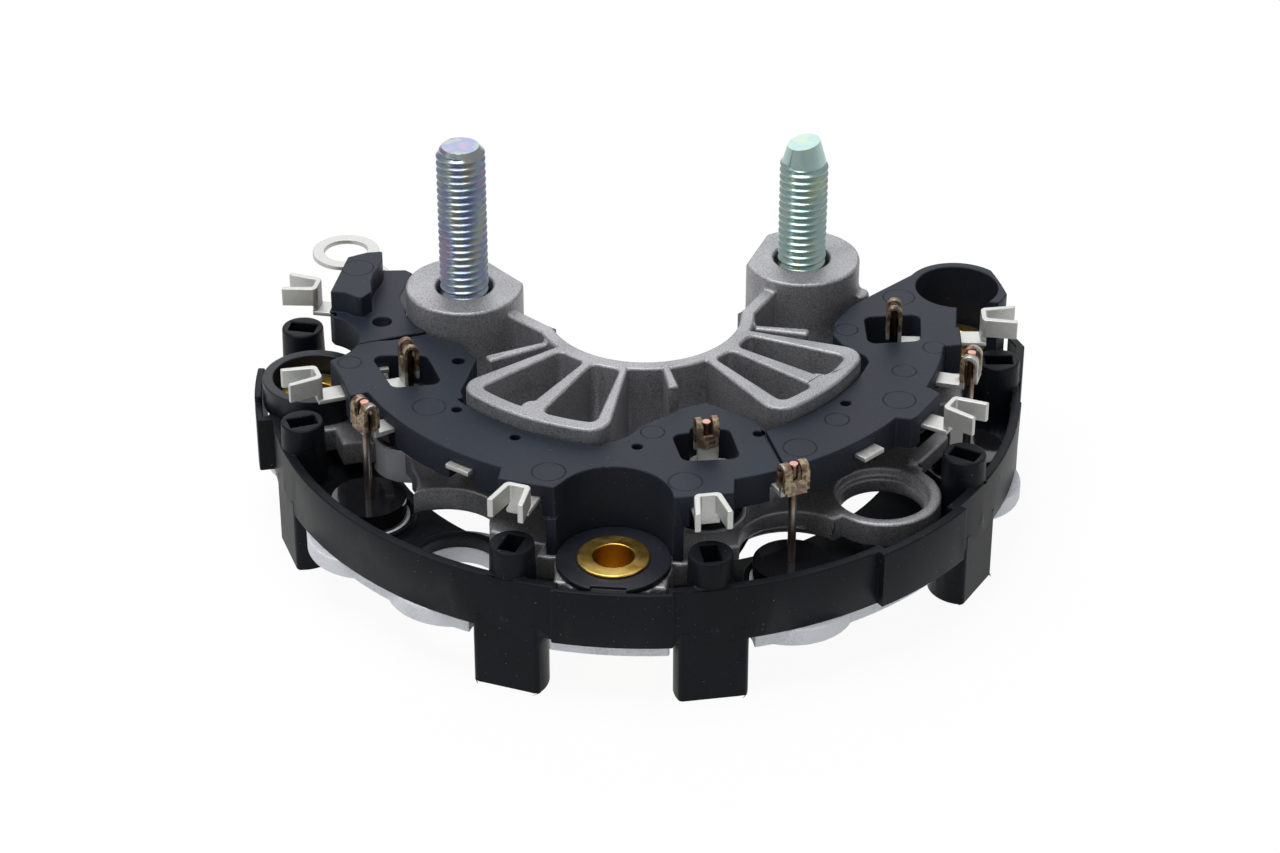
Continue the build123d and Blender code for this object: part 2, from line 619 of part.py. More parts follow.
# Middle segment of the connector board round the front mount
with BuildPart() as connector_board_middle:
    with BuildSketch(level(BOARD_BOTTOM)) as middle_outline:
        sector(BOARD_INNER, BOARD_OUTER, 192, 305)
        patch([(-46.2, -11.3), (-49.2, -16.1), (-47.0, -20.0), (-44.2, -26.6), (-41.0, -24.8), (-41.0, -14.0)])
        patch([(-17.9, -44.0), (-18.0, -48.3), (-12.8, -49.5), (-9.2, -50.1), (-5.0, -44.0)])
        patch([(5.0, -44.0), (9.1, -51.3), (18.0, -49.1), (17.7, -44.0)])
        patch([(-3.5, -36.9), (-1.5, -36.0), (0.5, -34.2), (2.4, -31.1), (6.0, -27.5), (7.8, -25.4),
               (11.7, -23.3), (16.4, -26.0), (20.3, -28.2), (24.0, -40.0), (-3.5, -42.0)])
        patch([(-26.4, -25.4), (-27.0, -23.3), (-26.5, -19.7), (-26.0, -14.5), (-25.8, -13.3), (-29.2, -8.9),
               (-34.9, -6.1), (-46.2, -11.3), (-42.0, -20.0), (-30.0, -27.0)])
        disc(FRONT_MOUNT, 9.0, mode=Mode.SUBTRACT)
        disc(LEFT_MOUNT, 7.6, mode=Mode.SUBTRACT)
        disc((BOSS_DISTANCE, SYMMETRY - BOSS_TURN), 10.2, mode=Mode.SUBTRACT)
        patch([(-60.0, -17.14), (-30.0, -3.23), (-30.0, 5.0), (-60.0, 5.0)], mode=Mode.SUBTRACT)
        patch([(18.0, -21.7), (27.0, -47.2), (40.0, -47.2), (40.0, -21.7)], mode=Mode.SUBTRACT)
    extrude(amount=BOARD_THICKNESS)
    # Wall that carries the board on the ear of the casting
    with BuildSketch(level(FLANGE_TOP)):
        disc(FRONT_MOUNT, 10.6)
        disc(FRONT_MOUNT, 9.0, mode=Mode.SUBTRACT)
        with Locations((0, -67)):
            Rectangle(40, 32, mode=Mode.SUBTRACT)
    extrude(amount=BOARD_BOTTOM - FLANGE_TOP)
    window([(-42.9, -13.9), (-34.1, -13.0), (-30.3, -21.4), (-37.9, -23.3)])
    window([(7.2, -33.5), (15.8, -30.7), (18.2, -39.2), (9.5, -40.7)])
    with BuildSketch(level(BOARD_BOTTOM)):
        for spot in ((-26.9, -29.0), (-16.8, -36.3), (2.2, -37.3), (20.5, -31.8)):
            with Locations(spot):
                Circle(0.8)
        with Locations((-28.7, -14.2)):
            Circle(1.0)
        with Locations((11.8, -32.2)):
            Circle(1.9)
    extrude(amount=BOARD_THICKNESS, mode=Mode.SUBTRACT)
    with BuildSketch(level(BOARD_BOTTOM)):
        left_strip(FIT + 0.1)
        left_tabs(FIT + 0.1)
        left_clip_channels(FIT + 0.1)
        front_strip(FIT + 0.1)
        front_tabs(FIT + 0.1)
        front_clip_channels(FIT + 0.1)
    extrude(amount=STRIP_TOP + FIT - BOARD_BOTTOM, mode=Mode.SUBTRACT)
connector_board_middle.part.label = "connector_board_middle"
export_step(connector_board_middle.part, "parts/connector_board_middle.step")

# Right segment of the connector board with the cup round the right mount
with BuildPart() as connector_board_right:
    with BuildSketch(level(BOARD_BOTTOM)):
        sector(BOARD_INNER, BOARD_OUTER, 298, 357)
        patch([(41.5, -25.1), (44.0, -25.5), (45.0, -24.4), (46.3, -21.6), (48.4, -17.2), (46.7, -15.6),
               (42.0, -14.0), (38.0, -22.0)])
        patch([(36.7, -8.6), (36.1, -6.8), (32.1, -3.3), (30.6, -0.5), (30.6, 3.6), (33.0, 9.1), (35.8, 12.7),
               (44.6, 23.0), (50.5, 16.0), (50.5, 10.2), (51.5, -1.7), (48.6, -2.4), (44.0, -12.0)])
        disc(RIGHT_MOUNT, 8.4)
        disc(RIGHT_MOUNT, 6.8, mode=Mode.SUBTRACT)
        Circle(60.8, mode=Mode.INTERSECT)
        patch([(50.5, 14.0), (50.5, 4.0), (62.0, 4.0), (62.0, 11.6)], mode=Mode.SUBTRACT)
        patch([(18.0 + SEAM_GAP, -21.7), (27.0 + SEAM_GAP, -47.2), (15.0, -50.0), (10.0, -21.7)],
              mode=Mode.SUBTRACT)
    extrude(amount=BOARD_THICKNESS)
    with BuildSketch(level(FLANGE_TOP)):
        disc(RIGHT_MOUNT, 8.4)
        disc(RIGHT_MOUNT, 6.8, mode=Mode.SUBTRACT)
        Circle(60.8, mode=Mode.INTERSECT)
        patch([(50.5, 14.0), (50.5, 4.0), (62.0, 4.0), (62.0, 11.6)], mode=Mode.SUBTRACT)
    extrude(amount=BOARD_BOTTOM - FLANGE_TOP)
    window([(35.4, 5.8), (44.5, 7.5), (44.8, -0.9), (36.4, -2.7)])
    with BuildSketch(level(BOARD_BOTTOM)):
        with Locations((33.5, -21.5)):
            Circle(0.8)
    extrude(amount=BOARD_THICKNESS, mode=Mode.SUBTRACT)
    with BuildSketch(level(BOARD_BOTTOM)):
        front_strip(FIT + 0.1)
        front_tabs(FIT + 0.1)
        right_strip(FIT + 0.1)
        right_tabs(FIT + 0.1)
        right_clip_channels(FIT + 0.1)
    extrude(amount=STRIP_TOP + FIT - BOARD_BOTTOM, mode=Mode.SUBTRACT)
connector_board_right.part.label = "connector_board_right"
export_step(connector_board_right.part, "parts/connector_board_right.step")

# Press-fit diodes, each a cup, its resin and its lead
for family, seats, floor, resin_top, tip in (
    ("negative", NEGATIVE_SEATS, PLATE_BOTTOM, NEGATIVE_RESIN_TOP, NEGATIVE_LEAD_TIP),
    ("positive", POSITIVE_SEATS, FLANGE_BOTTOM - 1.4, FLANGE_TOP + 0.9, POSITIVE_LEAD_TIP),
):
    cup_height = 5.7
    well = floor + 2.1
    for side, seat in zip(SIDES, seats):
        name = family + "_diode_" + side
        with BuildPart() as diode_cup:
            with BuildSketch(standing(seat, floor)):
                Circle(DIODE_CUP / 2)
            extrude(amount=cup_height)
            with BuildSketch(standing(seat, well)):
                Circle(DIODE_CUP / 2 - DIODE_WALL)
            extrude(amount=cup_height, mode=Mode.SUBTRACT)
        diode_cup.part.label = name + "_cup"
        export_step(diode_cup.part, "parts/" + name + "_cup.step")
        with BuildPart() as diode_resin:
            with BuildSketch(standing(seat, well)):
                Circle(DIODE_CUP / 2 - DIODE_WALL - FIT)
            extrude(amount=floor + cup_height - well)
            with BuildSketch(standing(seat, floor + cup_height)):
                Circle(5.9)
            extrude(amount=resin_top - floor - cup_height)
            with BuildSketch(standing(seat, well)):
                Circle(LEAD_HEAD / 2 + FIT)
            extrude(amount=0.8 + FIT, mode=Mode.SUBTRACT)
            with BuildSketch(standing(seat, well)):
                Circle(LEAD_DIAMETER / 2 + FIT)
            extrude(amount=resin_top - well, mode=Mode.SUBTRACT)
        diode_resin.part.label = name + "_resin"
        export_step(diode_resin.part, "parts/" + name + "_resin.step")
        with BuildPart() as diode_lead:
            with BuildSketch(standing(seat, well)):
                Circle(LEAD_HEAD / 2)
            extrude(amount=0.8)
            with BuildSketch(standing(seat, well)):
                Circle(LEAD_DIAMETER / 2)
            extrude(amount=tip - well)
        diode_lead.part.label = name + "_lead"
        export_step(diode_lead.part, "parts/" + name + "_lead.step")

# Insulating bushes between the ears of the casting and the rivets
for side, mount in zip(SIDES, MOUNTS):
    with BuildPart() as bush:
        radius = BUSH_DISC / 2
        if side == "left":
            radius = COLLAR_OUTER / 2
        if side == "right":
            radius = 6.6
        with BuildSketch(standing(mount, FLANGE_TOP)):
            Circle(radius)
        extrude(amount=BUSH_DISC_THICKNESS)
        if side == "left":
            with BuildSketch(standing(mount, DISC_TOP)):
                Circle(COLLAR_OUTER / 2)
                Circle(COLLAR_INNER / 2, mode=Mode.SUBTRACT)
            extrude(amount=COLLAR_TOP - DISC_TOP)
        with BuildSketch(standing(mount, FLANGE_BOTTOM)):
            Circle(BUSH_OUTER / 2)
        extrude(amount=FLANGE_THICKNESS)
        with BuildSketch(standing(mount, FLANGE_BOTTOM)):
            Circle(RIVET_OUTER / 2 + FIT)
        extrude(amount=FLANGE_THICKNESS + BUSH_DISC_THICKNESS, mode=Mode.SUBTRACT)
        if side == "front":
            with BuildSketch(standing(mount, FLANGE_TOP + 0.4)):
                with Locations((BUSH_DISC / 2 - 0.4, 0)):
                    Rectangle(1.6, 5.4)
            extrude(amount=BUSH_DISC_THICKNESS, mode=Mode.SUBTRACT)
    bush.part.label = side + "_mount_bush"
    export_step(bush.part, "parts/" + side + "_mount_bush.step")

# Hollow brass rivets, flanged on top and rolled over under the plate
for side, mount in zip(SIDES, MOUNTS):
    with BuildPart() as rivet:
        with BuildSketch(standing(mount, PLATE_BOTTOM)):
            Circle(RIVET_OUTER / 2)
        extrude(amount=DISC_TOP - PLATE_BOTTOM)
        with BuildSketch(standing(mount, DISC_TOP)) as upper_lip:
            Circle(RIVET_FLANGE / 2)
        extrude(amount=RIVET_LIP)
        with BuildSketch(standing(mount, PLATE_BOTTOM - RIVET_LIP)):
            Circle(RIVET_FLANGE / 2 - 0.4)
        extrude(amount=RIVET_LIP)
        with BuildSketch(standing(mount, PLATE_BOTTOM - RIVET_LIP)):
            Circle(RIVET_BORE / 2)
        extrude(amount=DISC_TOP - PLATE_BOTTOM + 2 * RIVET_LIP, mode=Mode.SUBTRACT)
    rivet.part.label = side + "_mount_rivet"
    export_step(rivet.part, "parts/" + side + "_mount_rivet.step")

# Terminal studs pressed into the bosses, their hexagon heads underneath
for side, turn, top in (("left", -1, LEFT_STUD_TOP), ("right", 1, RIGHT_STUD_TOP)):
    place = (BOSS_DISTANCE, SYMMETRY + turn * BOSS_TURN)
    with BuildPart() as stud:
        with BuildSketch(standing(place, FLANGE_BOTTOM - HEAD_HEIGHT)):
            RegularPolygon(HEAD_ACROSS_FLATS / 2, 6, major_radius=False)
        extrude(amount=HEAD_HEIGHT)
        with BuildSketch(standing(place, FLANGE_BOTTOM)):
            Circle(KNURL_DIAMETER / 2)
        extrude(amount=KNURL_HEIGHT)
        with BuildSketch(standing(place, FLANGE_BOTTOM)):
            Circle(SHANK_DIAMETER / 2)
        extrude(amount=BOSS_TOP - FLANGE_BOTTOM)
        if side == "left":
            with BuildSketch(standing(place, BOSS_TOP - 0.1)):
                Circle(THREAD_DIAMETER / 2)
            extrude(amount=top - BOSS_TOP + 0.1)
            chamfer(stud.edges().group_by(Axis.Z)[-1], 0.9)
        else:
            with BuildSketch(standing(place, BOSS_TOP - 0.1)):
                Circle(THREAD_DIAMETER / 2)
            extrude(amount=top - DOG_LENGTH - BOSS_TOP + 0.1)
            with BuildSketch(standing(place, top - DOG_LENGTH)):
                Circle(3.3)
            with BuildSketch(standing(place, top)):
                Circle(DOG_POINT / 2)
            loft()
    stud.part.label = side + "_terminal_stud"
    export_step(stud.part, "parts/" + side + "_terminal_stud.step")
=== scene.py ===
import bpy
import math
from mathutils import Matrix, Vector


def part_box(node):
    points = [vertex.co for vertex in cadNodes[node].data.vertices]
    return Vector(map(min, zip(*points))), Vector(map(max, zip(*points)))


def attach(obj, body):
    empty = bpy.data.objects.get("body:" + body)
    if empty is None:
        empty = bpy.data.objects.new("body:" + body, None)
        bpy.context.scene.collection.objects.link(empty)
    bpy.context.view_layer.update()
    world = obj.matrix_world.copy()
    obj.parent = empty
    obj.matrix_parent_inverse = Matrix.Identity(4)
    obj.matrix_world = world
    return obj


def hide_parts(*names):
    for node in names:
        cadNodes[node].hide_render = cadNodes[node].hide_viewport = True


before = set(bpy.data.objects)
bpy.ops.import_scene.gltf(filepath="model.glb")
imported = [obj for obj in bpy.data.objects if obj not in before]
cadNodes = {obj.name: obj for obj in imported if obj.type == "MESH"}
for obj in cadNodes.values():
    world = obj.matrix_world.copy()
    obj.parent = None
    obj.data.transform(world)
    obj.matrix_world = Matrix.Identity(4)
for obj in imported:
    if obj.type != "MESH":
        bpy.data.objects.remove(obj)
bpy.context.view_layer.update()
mm = 0.001
ringCentre = (0.8, 16.28)  # millimetres from the origin to the middle of the round inner rim
print("frame loaded,", len(cadNodes), "nodes")


# A shader socket that takes part in sums
class Wire:
    def __init__(self, tree, socket):
        self.tree = tree
        self.socket = socket

    def node(self, kind, settings, sockets, out=0):
        made = self.tree.nodes.new("ShaderNode" + kind)
        for key, value in settings.items():
            if key == "stops":
                ramp = made.color_ramp
                while len(ramp.elements) < len(value):
                    ramp.elements.new(0.5)
                for element, (spot, colour) in zip(ramp.elements, value):
                    element.position = spot
                    element.color = colour
            else:
                setattr(made, key, value)
        for key, value in sockets.items():
            if isinstance(value, Wire):
                self.tree.links.new(value.socket, made.inputs[key])
            else:
                made.inputs[key].default_value = value
        return Wire(self.tree, made.outputs[out])

    def math(self, operation, left, right):
        return self.node("Math", {"operation": operation}, {0: left, 1: right})

    def __add__(self, other):
        return self.math("ADD", self, other)

    __radd__ = __add__

    def __sub__(self, other):
        return self.math("SUBTRACT", self, other)

    def __rsub__(self, other):
        return self.math("SUBTRACT", other, self)

    def __mul__(self, other):
        return self.math("MULTIPLY", self, other)

    __rmul__ = __mul__

    def noise(self, size, detail=2.0):  # size in millimetres
        return self.node("TexNoise", {}, {"Vector": self, "Scale": 1 / (size * mm), "Detail": detail})

    def fade(self, start, end):  # 0 at start, 1 at end
        return self.node("MapRange", {"interpolation_type": "SMOOTHSTEP"},
                         {"Value": self, "From Min": start, "From Max": end})

    def mix(self, first, second):  # colour mix, self is the share of the second
        return self.node("Mix", {"data_type": "RGBA"}, {0: self, 6: first, 7: second}, 2)

    def bump(self, depth, strength=1.0):  # depth in millimetres
        return self.node("Bump", {}, {"Height": self, "Distance": depth * mm, "Strength": strength})

    def near(self, spot, radius):  # 1 at a spot in millimetres, 0 beyond its radius
        centre = ((spot[0] + ringCentre[0]) * mm, (spot[1] + ringCentre[1]) * mm, spot[2] * mm)
        gap = self.node("VectorMath", {"operation": "DISTANCE"}, {0: self, 1: centre}, 1)
        return gap.fade(radius * mm, radius * mm * 0.55)

    def ringAt(self, spot, radius, width):  # 1 on a thin circle round an upright axis, in millimetres
        centre = ((spot[0] + ringCentre[0]) * mm, (spot[1] + ringCentre[1]) * mm, 0)
        flat = self.node("VectorMath", {"operation": "MULTIPLY"}, {0: self, 1: (1, 1, 0)})
        gap = flat.node("VectorMath", {"operation": "DISTANCE"}, {0: flat, 1: centre}, 1)
        return (gap - radius * mm).size().fade(width * mm, 0.0)

    def size(self):
        return self.node("Math", {"operation": "ABSOLUTE"}, {0: self})


def finishOf(name, constants):
    made = bpy.data.materials.new(name)
    made.use_nodes = True
    shader = made.node_tree.nodes["Principled BSDF"]
    for key, value in constants.items():
        shader.inputs[key].default_value = value
    coordinates = made.node_tree.nodes.new("ShaderNodeTexCoord")
    return made, Wire(made.node_tree, coordinates.outputs["Object"]), shader


def feed(shader, wires):
    for key, wire in wires.items():
        wire.tree.links.new(wire.socket, shader.inputs[key])


castLook = {
    "dark": (0.21, 0.21, 0.22, 1), "light": (0.45, 0.45, 0.47, 1),
    "metal": 0.65, "grain": 0.26, "cloud": 7.0, "depth": 0.05,  # grain, cloud and depth in millimetres
}


def castFinish():
    made, place, shader = finishOf("castAluminium", {"Metallic": castLook["metal"]})
    grain = place.noise(castLook["grain"], 2.0)
    cloud = place.noise(castLook["cloud"], 2.0)
    base = (grain * 0.75 + cloud * 0.25).fade(0.28, 0.66).mix(castLook["dark"], castLook["light"])
    feed(shader, {
        "Base Color": base,
        "Roughness": grain * 0.3 + 0.34,
        "Normal": grain.bump(castLook["depth"]),
    })
    return made


plateLook = {
    "dark": (0.66, 0.69, 0.74, 1), "light": (0.86, 0.89, 0.94, 1),
    "metal": 0.1, "grain": 0.35, "cloud": 5.0, "depth": 0.03,
}


def plateFinish():
    made, place, shader = finishOf("palePlate", {"Metallic": plateLook["metal"]})
    grain = place.noise(plateLook["grain"], 4.0)
    cloud = place.noise(plateLook["cloud"])
    blend = (grain * 0.7 + cloud * 0.5).fade(0.35, 0.65)
    feed(shader, {
        "Base Color": blend.mix(plateLook["dark"], plateLook["light"]),
        "Roughness": grain * 0.25 + 0.3,
        "Normal": grain.bump(plateLook["depth"]),
    })
    return made


boardMarks = [  # x, y from the ring centre and radius of the plain round marks of the mould
    (-31.3, -28.7, 2.57), (-10.5, -45.8, 2.57), (10.4, -46.7, 2.57), (27.1, -35.4, 2.57),
    (41.9, -19.9, 2.57), (40.9, 12.8, 2.57), (-45.9, -16.4, 1.85), (47.1, -3.1, 1.85),
    (32.7, 1.4, 1.85), (4.2, -33.0, 1.85), (42.4, -10.9, 1.9), (32.4, -26.6, 1.9), (-48.4, 7.65, 2.6),
]
plasticLooks = {
    "blackMoulding": {
        "dark": (0.007, 0.008, 0.0105, 1), "light": (0.011, 0.013, 0.017, 1),
        "rough": 0.36, "depth": 0.02, "gloss": 0.10, "marks": [],
    },
    "darkBoard": {
        "dark": (0.014, 0.018, 0.028, 1), "light": (0.020, 0.026, 0.039, 1),
        "rough": 0.42, "depth": 0.02, "gloss": 0.17, "marks": boardMarks,
    },
    "bushPlastic": {
        "dark": (0.009, 0.011, 0.016, 1), "light": (0.015, 0.018, 0.026, 1),
        "rough": 0.34, "depth": 0.015, "gloss": 0.3, "marks": [],
    },
}
markGroove = {"width": 0.16, "depth": 0.12}
dustColour = (0.11, 0.11, 0.12, 1)


def plasticFinish(name):
    look = plasticLooks[name]
    made, place, shader = finishOf(name, {"Specular IOR Level": look["gloss"]})
    grain = place.noise(0.28, 3.0)
    cloud = place.noise(14.0)
    dust = place.noise(0.45, 1.0).fade(0.74, 0.80)
    height = grain * (look["depth"] * mm)
    for x, y, radius in look["marks"]:
        height = height - place.ringAt((x, y), radius, markGroove["width"]) * (markGroove["depth"] * mm)
    bump = place.node("Bump", {}, {"Height": height, "Distance": 1.0})
    tint = (grain * 0.4 + cloud * 0.6).fade(0.35, 0.65).mix(look["dark"], look["light"])
    feed(shader, {
        "Base Color": dust.mix(tint, dustColour),
        "Roughness": cloud * 0.12 + look["rough"],
        "Normal": bump,
    })
    return made


def resinFinish():
    made, place, shader = finishOf("diodeResin", {"Coat Roughness": 0.03})
    cloud = place.noise(3.0)
    feed(shader, {
        "Base Color": cloud.mix((0.006, 0.006, 0.007, 1), (0.014, 0.014, 0.017, 1)),
        "Roughness": cloud * 0.06 + 0.04,
        "Normal": cloud.bump(0.02),
    })
    return made


brassLook = {
    "spots": [(-53.28, -9.39), (0.0, -52.4), (50.40, 17.35)],  # axes of the eyelets from the ring centre
    "bore": 3.15, "reach": 0.35,  # radius of the bore and how far its painted shade reaches
    # the inside colour is painted shade: a darker amber laid on the bore walls and rims
    "dark": (0.72, 0.45, 0.09, 1), "light": (0.90, 0.64, 0.20, 1), "inside": (0.60, 0.38, 0.06, 1),
}


def brassFinish():
    made, place, shader = finishOf("brassRivet", {"Metallic": 1.0})
    cloud = place.noise(2.2, 4.0)
    boreShadeMask = [place.ringAt(spot, brassLook["bore"], brassLook["reach"]) for spot in brassLook["spots"]]
    flange = cloud.fade(0.35, 0.7).mix(brassLook["dark"], brassLook["light"])
    feed(shader, {
        # painted shade: the bore walls and rims are tinted with the darker inside colour
        "Base Color": sum(boreShadeMask, 0.0).mix(flange, brassLook["inside"]),
        "Roughness": cloud * 0.2 + 0.2,
        "Normal": cloud.bump(0.01),
    })
    return made


zincLooks = {
    "zincBlue": {"shift": 0.0, "colours": [
        (0.36, 0.30, 0.41, 1), (0.24, 0.29, 0.43, 1), (0.31, 0.38, 0.40, 1), (0.38, 0.36, 0.34, 1),
    ]},
    "zincGreen": {"shift": 3.0, "colours": [
        (0.42, 0.52, 0.47, 1), (0.34, 0.49, 0.49, 1), (0.46, 0.54, 0.42, 1),
    ]},
}


def zincFinish(name):
    made, place, shader = finishOf(name, {"Metallic": 1.0})
    colours, shift = zincLooks[name]["colours"], zincLooks[name]["shift"]
    turned = place.node("Mapping", {}, {"Vector": place, "Scale": (1, 1, 0.45), "Location": (shift, 0, 0)})
    cloud = turned.noise(2.6, 1.0).fade(0.25, 0.75)
    stops = [(i / (len(colours) - 1), colour) for i, colour in enumerate(colours)]
    fine = place.noise(0.8, 2.0)
    feed(shader, {
        "Base Color": cloud.node("ValToRGB", {"stops": stops}, {"Fac": cloud}),
        "Roughness": fine * 0.1 + 0.2,
    })
    return made


leadLook = {
    "tin": (0.42, 0.38, 0.33, 1), "oxide": (0.13, 0.08, 0.055, 1), "cut": (0.56, 0.29, 0.24, 1),
    "brownFrom": 25, "brownTo": 29,  # levels between which the tin turns brown
}


def wireFinish(tip):  # lead of a diode: tin below, oxide above and a bare copper cut on top
    made, place, shader = finishOf("leadWire", {"Metallic": 1.0})
    height = place.node("SeparateXYZ", {}, {0: place}, 2)
    cloud = place.noise(1.2, 3.0)
    brown = (height + (cloud - 0.5) * (3 * mm)).fade(leadLook["brownFrom"] * mm, leadLook["brownTo"] * mm)
    copper = height.fade((tip - 0.35) * mm, (tip - 0.2) * mm)
    base = brown.mix(leadLook["tin"], leadLook["oxide"])
    feed(shader, {
        "Base Color": copper.mix(base, leadLook["cut"]),
        "Roughness": cloud * 0.2 + 0.22,
    })
    return made


tinLook = {
    "dark": (0.54, 0.55, 0.53, 1), "light": (0.60, 0.605, 0.585, 1), "metal": 0.6,
    "heatReach": 4.2,  # millimetres from the middle of a hook
    "oxides": [
        (0.32, (0.08, 0.05, 0.04, 1)), (0.43, (0.22, 0.13, 0.085, 1)), (0.50, (0.20, 0.15, 0.13, 1)),
        (0.56, (0.42, 0.34, 0.20, 1)), (0.66, (0.10, 0.06, 0.045, 1)),
    ],
}


def tinFinish(name, hooks):  # tin sheet, browned where the hooks were welded
    made, place, shader = finishOf(name, {"Metallic": tinLook["metal"]})
    cloud = place.noise(1.0, 4.0)
    fine = place.noise(0.3, 2.0)
    tin = (fine * 0.5 + cloud * 0.5).fade(0.35, 0.65).mix(tinLook["dark"], tinLook["light"])
    if hooks:
        heat = sum([place.near(spot, tinLook["heatReach"]) for spot in hooks], 0.0)
        broad = place.noise(1.7, 2.0)
        brown = (heat + (broad - 0.5) * 0.8).fade(0.3, 0.7)
        oxide = broad.node("ValToRGB", {"stops": tinLook["oxides"]}, {"Fac": broad})
        tin = brown.mix(tin, oxide)
    feed(shader, {
        "Base Color": tin,
        "Roughness": cloud * 0.25 + 0.3,
        "Normal": fine.bump(0.006),
    })
    return made


def clearSelection():
    if bpy.context.object and bpy.context.object.mode != "OBJECT":
        bpy.ops.object.mode_set(mode="OBJECT")
    bpy.ops.object.select_all(action="DESELECT")


def pick(piece):
    clearSelection()
    piece.select_set(True)
    bpy.context.view_layer.objects.active = piece


def wear(piece, material):
    piece.data.materials.clear()
    piece.data.materials.append(material)


black, board, bushBlack = [plasticFinish(name) for name in ("blackMoulding", "darkBoard", "bushPlastic")]
case = plateFinish()
resin = resinFinish()
brass = brassFinish()
blueZinc, greenZinc = zincFinish("zincBlue"), zincFinish("zincGreen")
clipTin = tinFinish("clipTin", [])
hookSpots = {  # middles of the hooks from the ring centre
    "left": [(-36.1, -17.6, 34), (-40.9, -33.4, 32)],
    "front": [(12.7, -36.1, 34), (26.6, -45.1, 32)],
    "right": [(40.3, 2.1, 34), (51.9, -9.2, 32)],
}
looks = {
    "positive_heat_sink": castFinish(),
    "negative_heat_sink": plateFinish(),
    "insulator_ring": black,
    "left_terminal_stud": blueZinc,
    "right_terminal_stud": greenZinc,
}
for side in ("left", "middle", "right"):
    looks["connector_board_" + side] = board
for side in ("left", "front", "right"):
    looks[side + "_phase_conductor"] = tinFinish(side + "Tin", hookSpots[side])
    looks[side + "_mount_bush"] = bushBlack
    looks[side + "_mount_rivet"] = brass
    for family, tip in (("negative", 34.3), ("positive", 35.4)):
        looks[family + "_diode_" + side + "_cup"] = case
        looks[family + "_diode_" + side + "_resin"] = resin
        looks[family + "_diode_" + side + "_lead"] = wireFinish(tip)
for side in ("left", "front", "right"):
    for end in ("front", "rear") if side != "front" else ("left", "right"):
        looks[side + "_" + end + "_wire_clip"] = clipTin
for name, piece in cadNodes.items():
    wear(piece, looks[name])
print("materials ready")


# Cast, moulded and stamped pieces with their edges rounded
clipEdges = ("tinned_copper", 0.18, (29, 30.4))
stripEdges = ("tinned_copper", 0.12, (0, 0))
boardEdges = ("dark_board", 0.25, (25, 26))
edgeWidths = {  # slot, width in millimetres and the levels between which edges stay sharp
    "positive_heat_sink": ("cast_aluminium", 0.5, (0, 0)),
    "negative_heat_sink": ("pale_plate", 0.35, (0, 0)),
    "insulator_ring": ("black_moulding", 0.25, (9.0, 13.0)),
    "connector_board_left": boardEdges,
    "connector_board_middle": boardEdges,
    "connector_board_right": boardEdges,
    "left_rear_wire_clip": clipEdges,
    "left_front_wire_clip": clipEdges,
    "front_left_wire_clip": clipEdges,
    "front_right_wire_clip": clipEdges,
    "right_front_wire_clip": clipEdges,
    "right_rear_wire_clip": clipEdges,
    "left_phase_conductor": stripEdges,
    "front_phase_conductor": stripEdges,
    "right_phase_conductor": stripEdges,
    "left_mount_bush": ("bush_plastic", 0.25, (0, 0)),
    "front_mount_bush": ("bush_plastic", 0.18, (0, 0)),
    "right_mount_bush": ("bush_plastic", 0.2, (0, 0)),
    "left_mount_rivet": ("brass", 0.22, (0, 0)),
    "front_mount_rivet": ("brass", 0.22, (0, 0)),
    "right_mount_rivet": ("brass", 0.22, (0, 0)),
}


def place(piece, node, slotName):
    wear(piece, looks[node])
    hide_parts(node)
    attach(piece, "root")


def roundEdges(piece, width, sharp=(0, 0)):
    pick(piece)
    bpy.ops.object.mode_set(mode="EDIT")
    bpy.ops.mesh.select_mode(type="EDGE")
    bpy.ops.mesh.select_all(action="DESELECT")
    bpy.ops.mesh.edges_select_sharp(sharpness=math.radians(32))
    bpy.ops.object.mode_set(mode="OBJECT")
    bpy.context.tool_settings.mesh_select_mode = (True, False, False)
    weights = piece.data.attributes.new("bevel_weight_edge", "FLOAT", "EDGE")
    corners = piece.data.vertices
    for edge in piece.data.edges:
        level = (corners[edge.vertices[0]].co.z + corners[edge.vertices[1]].co.z) / 2 / mm
        weights.data[edge.index].value = 1.0 if edge.select and not sharp[0] < level < sharp[1] else 0.0
    bevel = piece.modifiers.new("roundEdges", "BEVEL")
    bevel.width = width * mm
    bevel.segments = 2
    bevel.limit_method = "WEIGHT"
    bevel.use_clamp_overlap = False
    bpy.ops.object.modifier_apply(modifier=bevel.name)
    bpy.ops.object.shade_smooth_by_angle(angle=math.radians(50))
    flat = piece.modifiers.new("flatFaces", "WEIGHTED_NORMAL")
    flat.keep_sharp = True
    bpy.ops.object.modifier_apply(modifier=flat.name)


bossCut = {"axis": (-29.96, 2.94), "from": 10.15, "to": 10.25, "radius": 9.75}


def hugBoss(piece):  # closes the gap between the board and the left stud boss
    axis = Vector(((ringCentre[0] + bossCut["axis"][0]) * mm, (ringCentre[1] + bossCut["axis"][1]) * mm))
    for corner in piece.data.vertices:
        reach = (corner.co.xy - axis).length
        if bossCut["from"] * mm < reach < bossCut["to"] * mm:
            corner.co.xy = axis + (corner.co.xy - axis) * (bossCut["radius"] * mm / reach)


bandFront = {"turns": (261.8, 279.4), "reach": 60.6, "levels": (9.0, 9.6), "lifted": 10.66}


def liftBand(piece):  # shows the plate under the front of the band
    (start, end), (low, high) = bandFront["turns"], bandFront["levels"]
    for corner in piece.data.vertices:
        reach = Vector((corner.co.x / mm - ringCentre[0], corner.co.y / mm - ringCentre[1]))
        turn = math.degrees(math.atan2(reach.y, reach.x)) % 360
        if start < turn < end and reach.length > bandFront["reach"] and low < corner.co.z / mm < high:
            corner.co.z = bandFront["lifted"] * mm


earTop = 19.3


